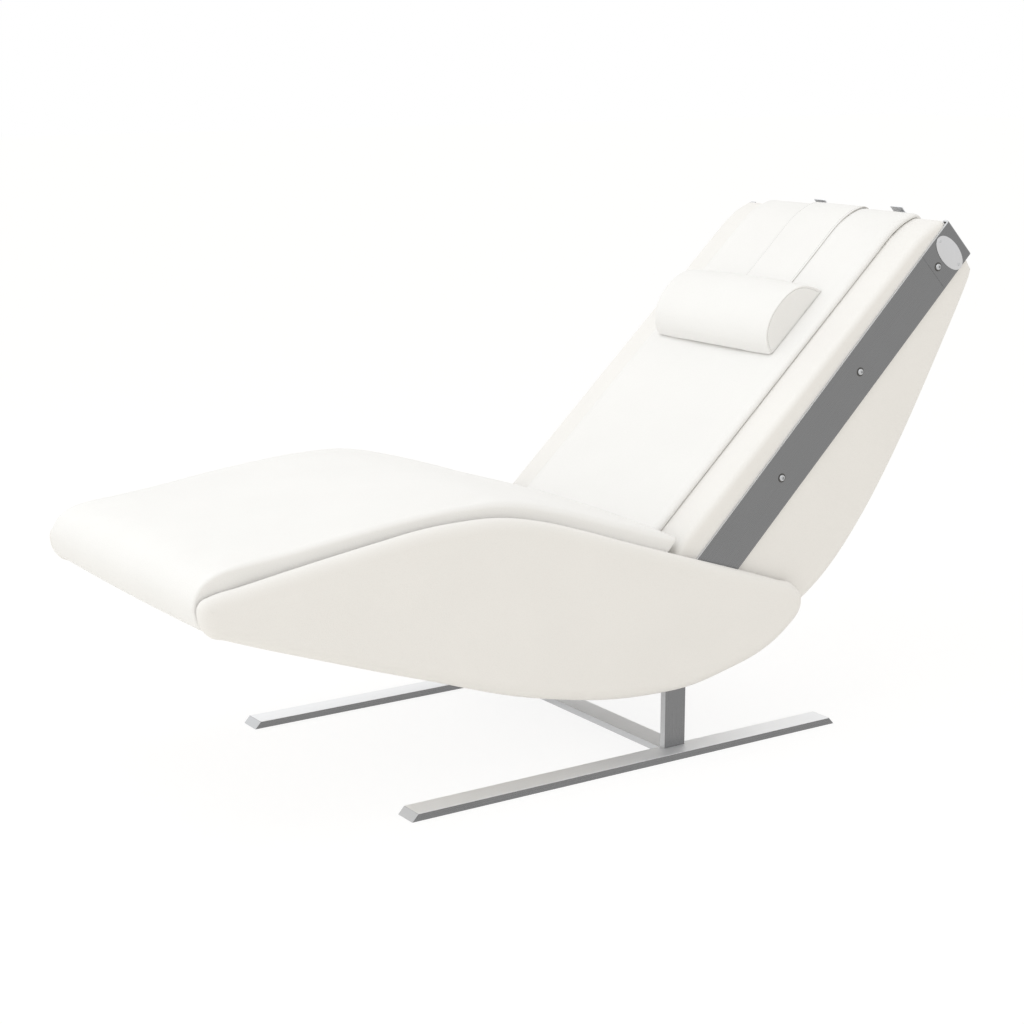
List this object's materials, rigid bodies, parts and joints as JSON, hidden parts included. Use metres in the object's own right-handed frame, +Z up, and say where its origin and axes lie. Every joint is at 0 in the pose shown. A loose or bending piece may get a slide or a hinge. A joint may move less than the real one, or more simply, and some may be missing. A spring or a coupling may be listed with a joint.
{
  "type": "massage lounger",
  "caption": "Spa lounger: leaf-shaped upholstered seat on a flat-bar skid base, a back that reclines between steel arms, and a neck pillow that slides on it.",
  "frame": {"origin": "on the floor, in the middle of the length and the width", "axes": "+X from the foot end to the head end, +Y to the right of a person lying on it, +Z up"},
  "size_m": [2.0355, 0.773, 1.1768],
  "materials": {
    "brushed_steel": "satin",
    "dark_steel": "satin",
    "screw_steel": "gloss",
    "black_paint": "satin",
    "upholstery_top": "satin",
    "upholstery_side": "satin",
    "plywood": "matte",
    "bronze": "satin",
    "friction_lining": "matte"
  },
  "bodies": {
    "base": {"skid_left": "brushed_steel", "skid_right": "brushed_steel", "post_left": "brushed_steel", "post_right": "brushed_steel", "cross_bar": "brushed_steel", "panel_spacer_left": "brushed_steel", "panel_spacer_right": "brushed_steel", "panel_bolt_left_lower": "screw_steel", "panel_bolt_left_upper": "screw_steel", "panel_bolt_right_lower": "screw_steel", "panel_bolt_right_upper": "screw_steel", "post_screw_left_front": "screw_steel", "post_screw_left_rear": "screw_steel", "post_screw_right_front": "screw_steel", "post_screw_right_rear": "screw_steel", "gas_spring_cylinder": "black_paint", "spring_clamp_front": "black_paint", "spring_clamp_rear": "black_paint", "spring_tube_front": "black_paint", "spring_tube_rear": "black_paint", "seat_cushion": "upholstery_top", "side_panel_left": "upholstery_side", "side_panel_right": "upholstery_side", "under_panel": "upholstery_side", "seat_deck": "plywood", "nose_rail": "plywood", "seat_rib_front": "plywood", "seat_rib_rear": "plywood", "post_bush_left": "bronze", "post_bush_right": "bronze", "friction_washer_left": "friction_lining", "friction_washer_right": "friction_lining"},
    "back": {"back_arm_left": "dark_steel", "back_arm_right": "dark_steel", "head_bracket": "dark_steel", "back_shell": "upholstery_side", "back_cushion": "upholstery_top", "pillow_strap": "upholstery_top", "back_tie_lower": "brushed_steel", "back_tie_middle": "brushed_steel", "back_tie_upper": "brushed_steel", "head_hook_left": "brushed_steel", "head_hook_right": "brushed_steel", "pivot_shaft": "brushed_steel", "slotted_lever": "black_paint", "shaft_bolt_left": "screw_steel", "shaft_bolt_right": "screw_steel", "arm_screw_left_lower": "screw_steel", "arm_screw_left_middle": "screw_steel", "arm_screw_left_upper": "screw_steel", "arm_screw_right_lower": "screw_steel", "arm_screw_right_middle": "screw_steel", "arm_screw_right_upper": "screw_steel"},
    "rod": {"gas_spring_rod": "screw_steel", "rod_fork": "screw_steel", "rod_pin": "screw_steel"},
    "pillow": {"neck_pillow": "upholstery_top"}
  },
  "joints": [
    {"name": "back_recline", "type": "hinge", "parent": "base", "child": "back", "pos_m": [0.157, 0, 0.326], "axis": [0, 1, 0], "range_deg": [0, 30]},
    {"name": "gas_spring_stroke", "type": "slide", "parent": "base", "child": "rod", "axis": [-1, 0, 0], "range_m": [0, 0.0526]},
    {"name": "pillow_slide", "type": "slide", "parent": "back", "child": "pillow", "axis": [0.7314, 0, 0.682], "range_m": [-0.06, 0.06]}
  ],
  "couplings": [
    {"joint": "gas_spring_stroke", "follows": "back_recline", "m_per_rad": 0.1003}
  ]
}
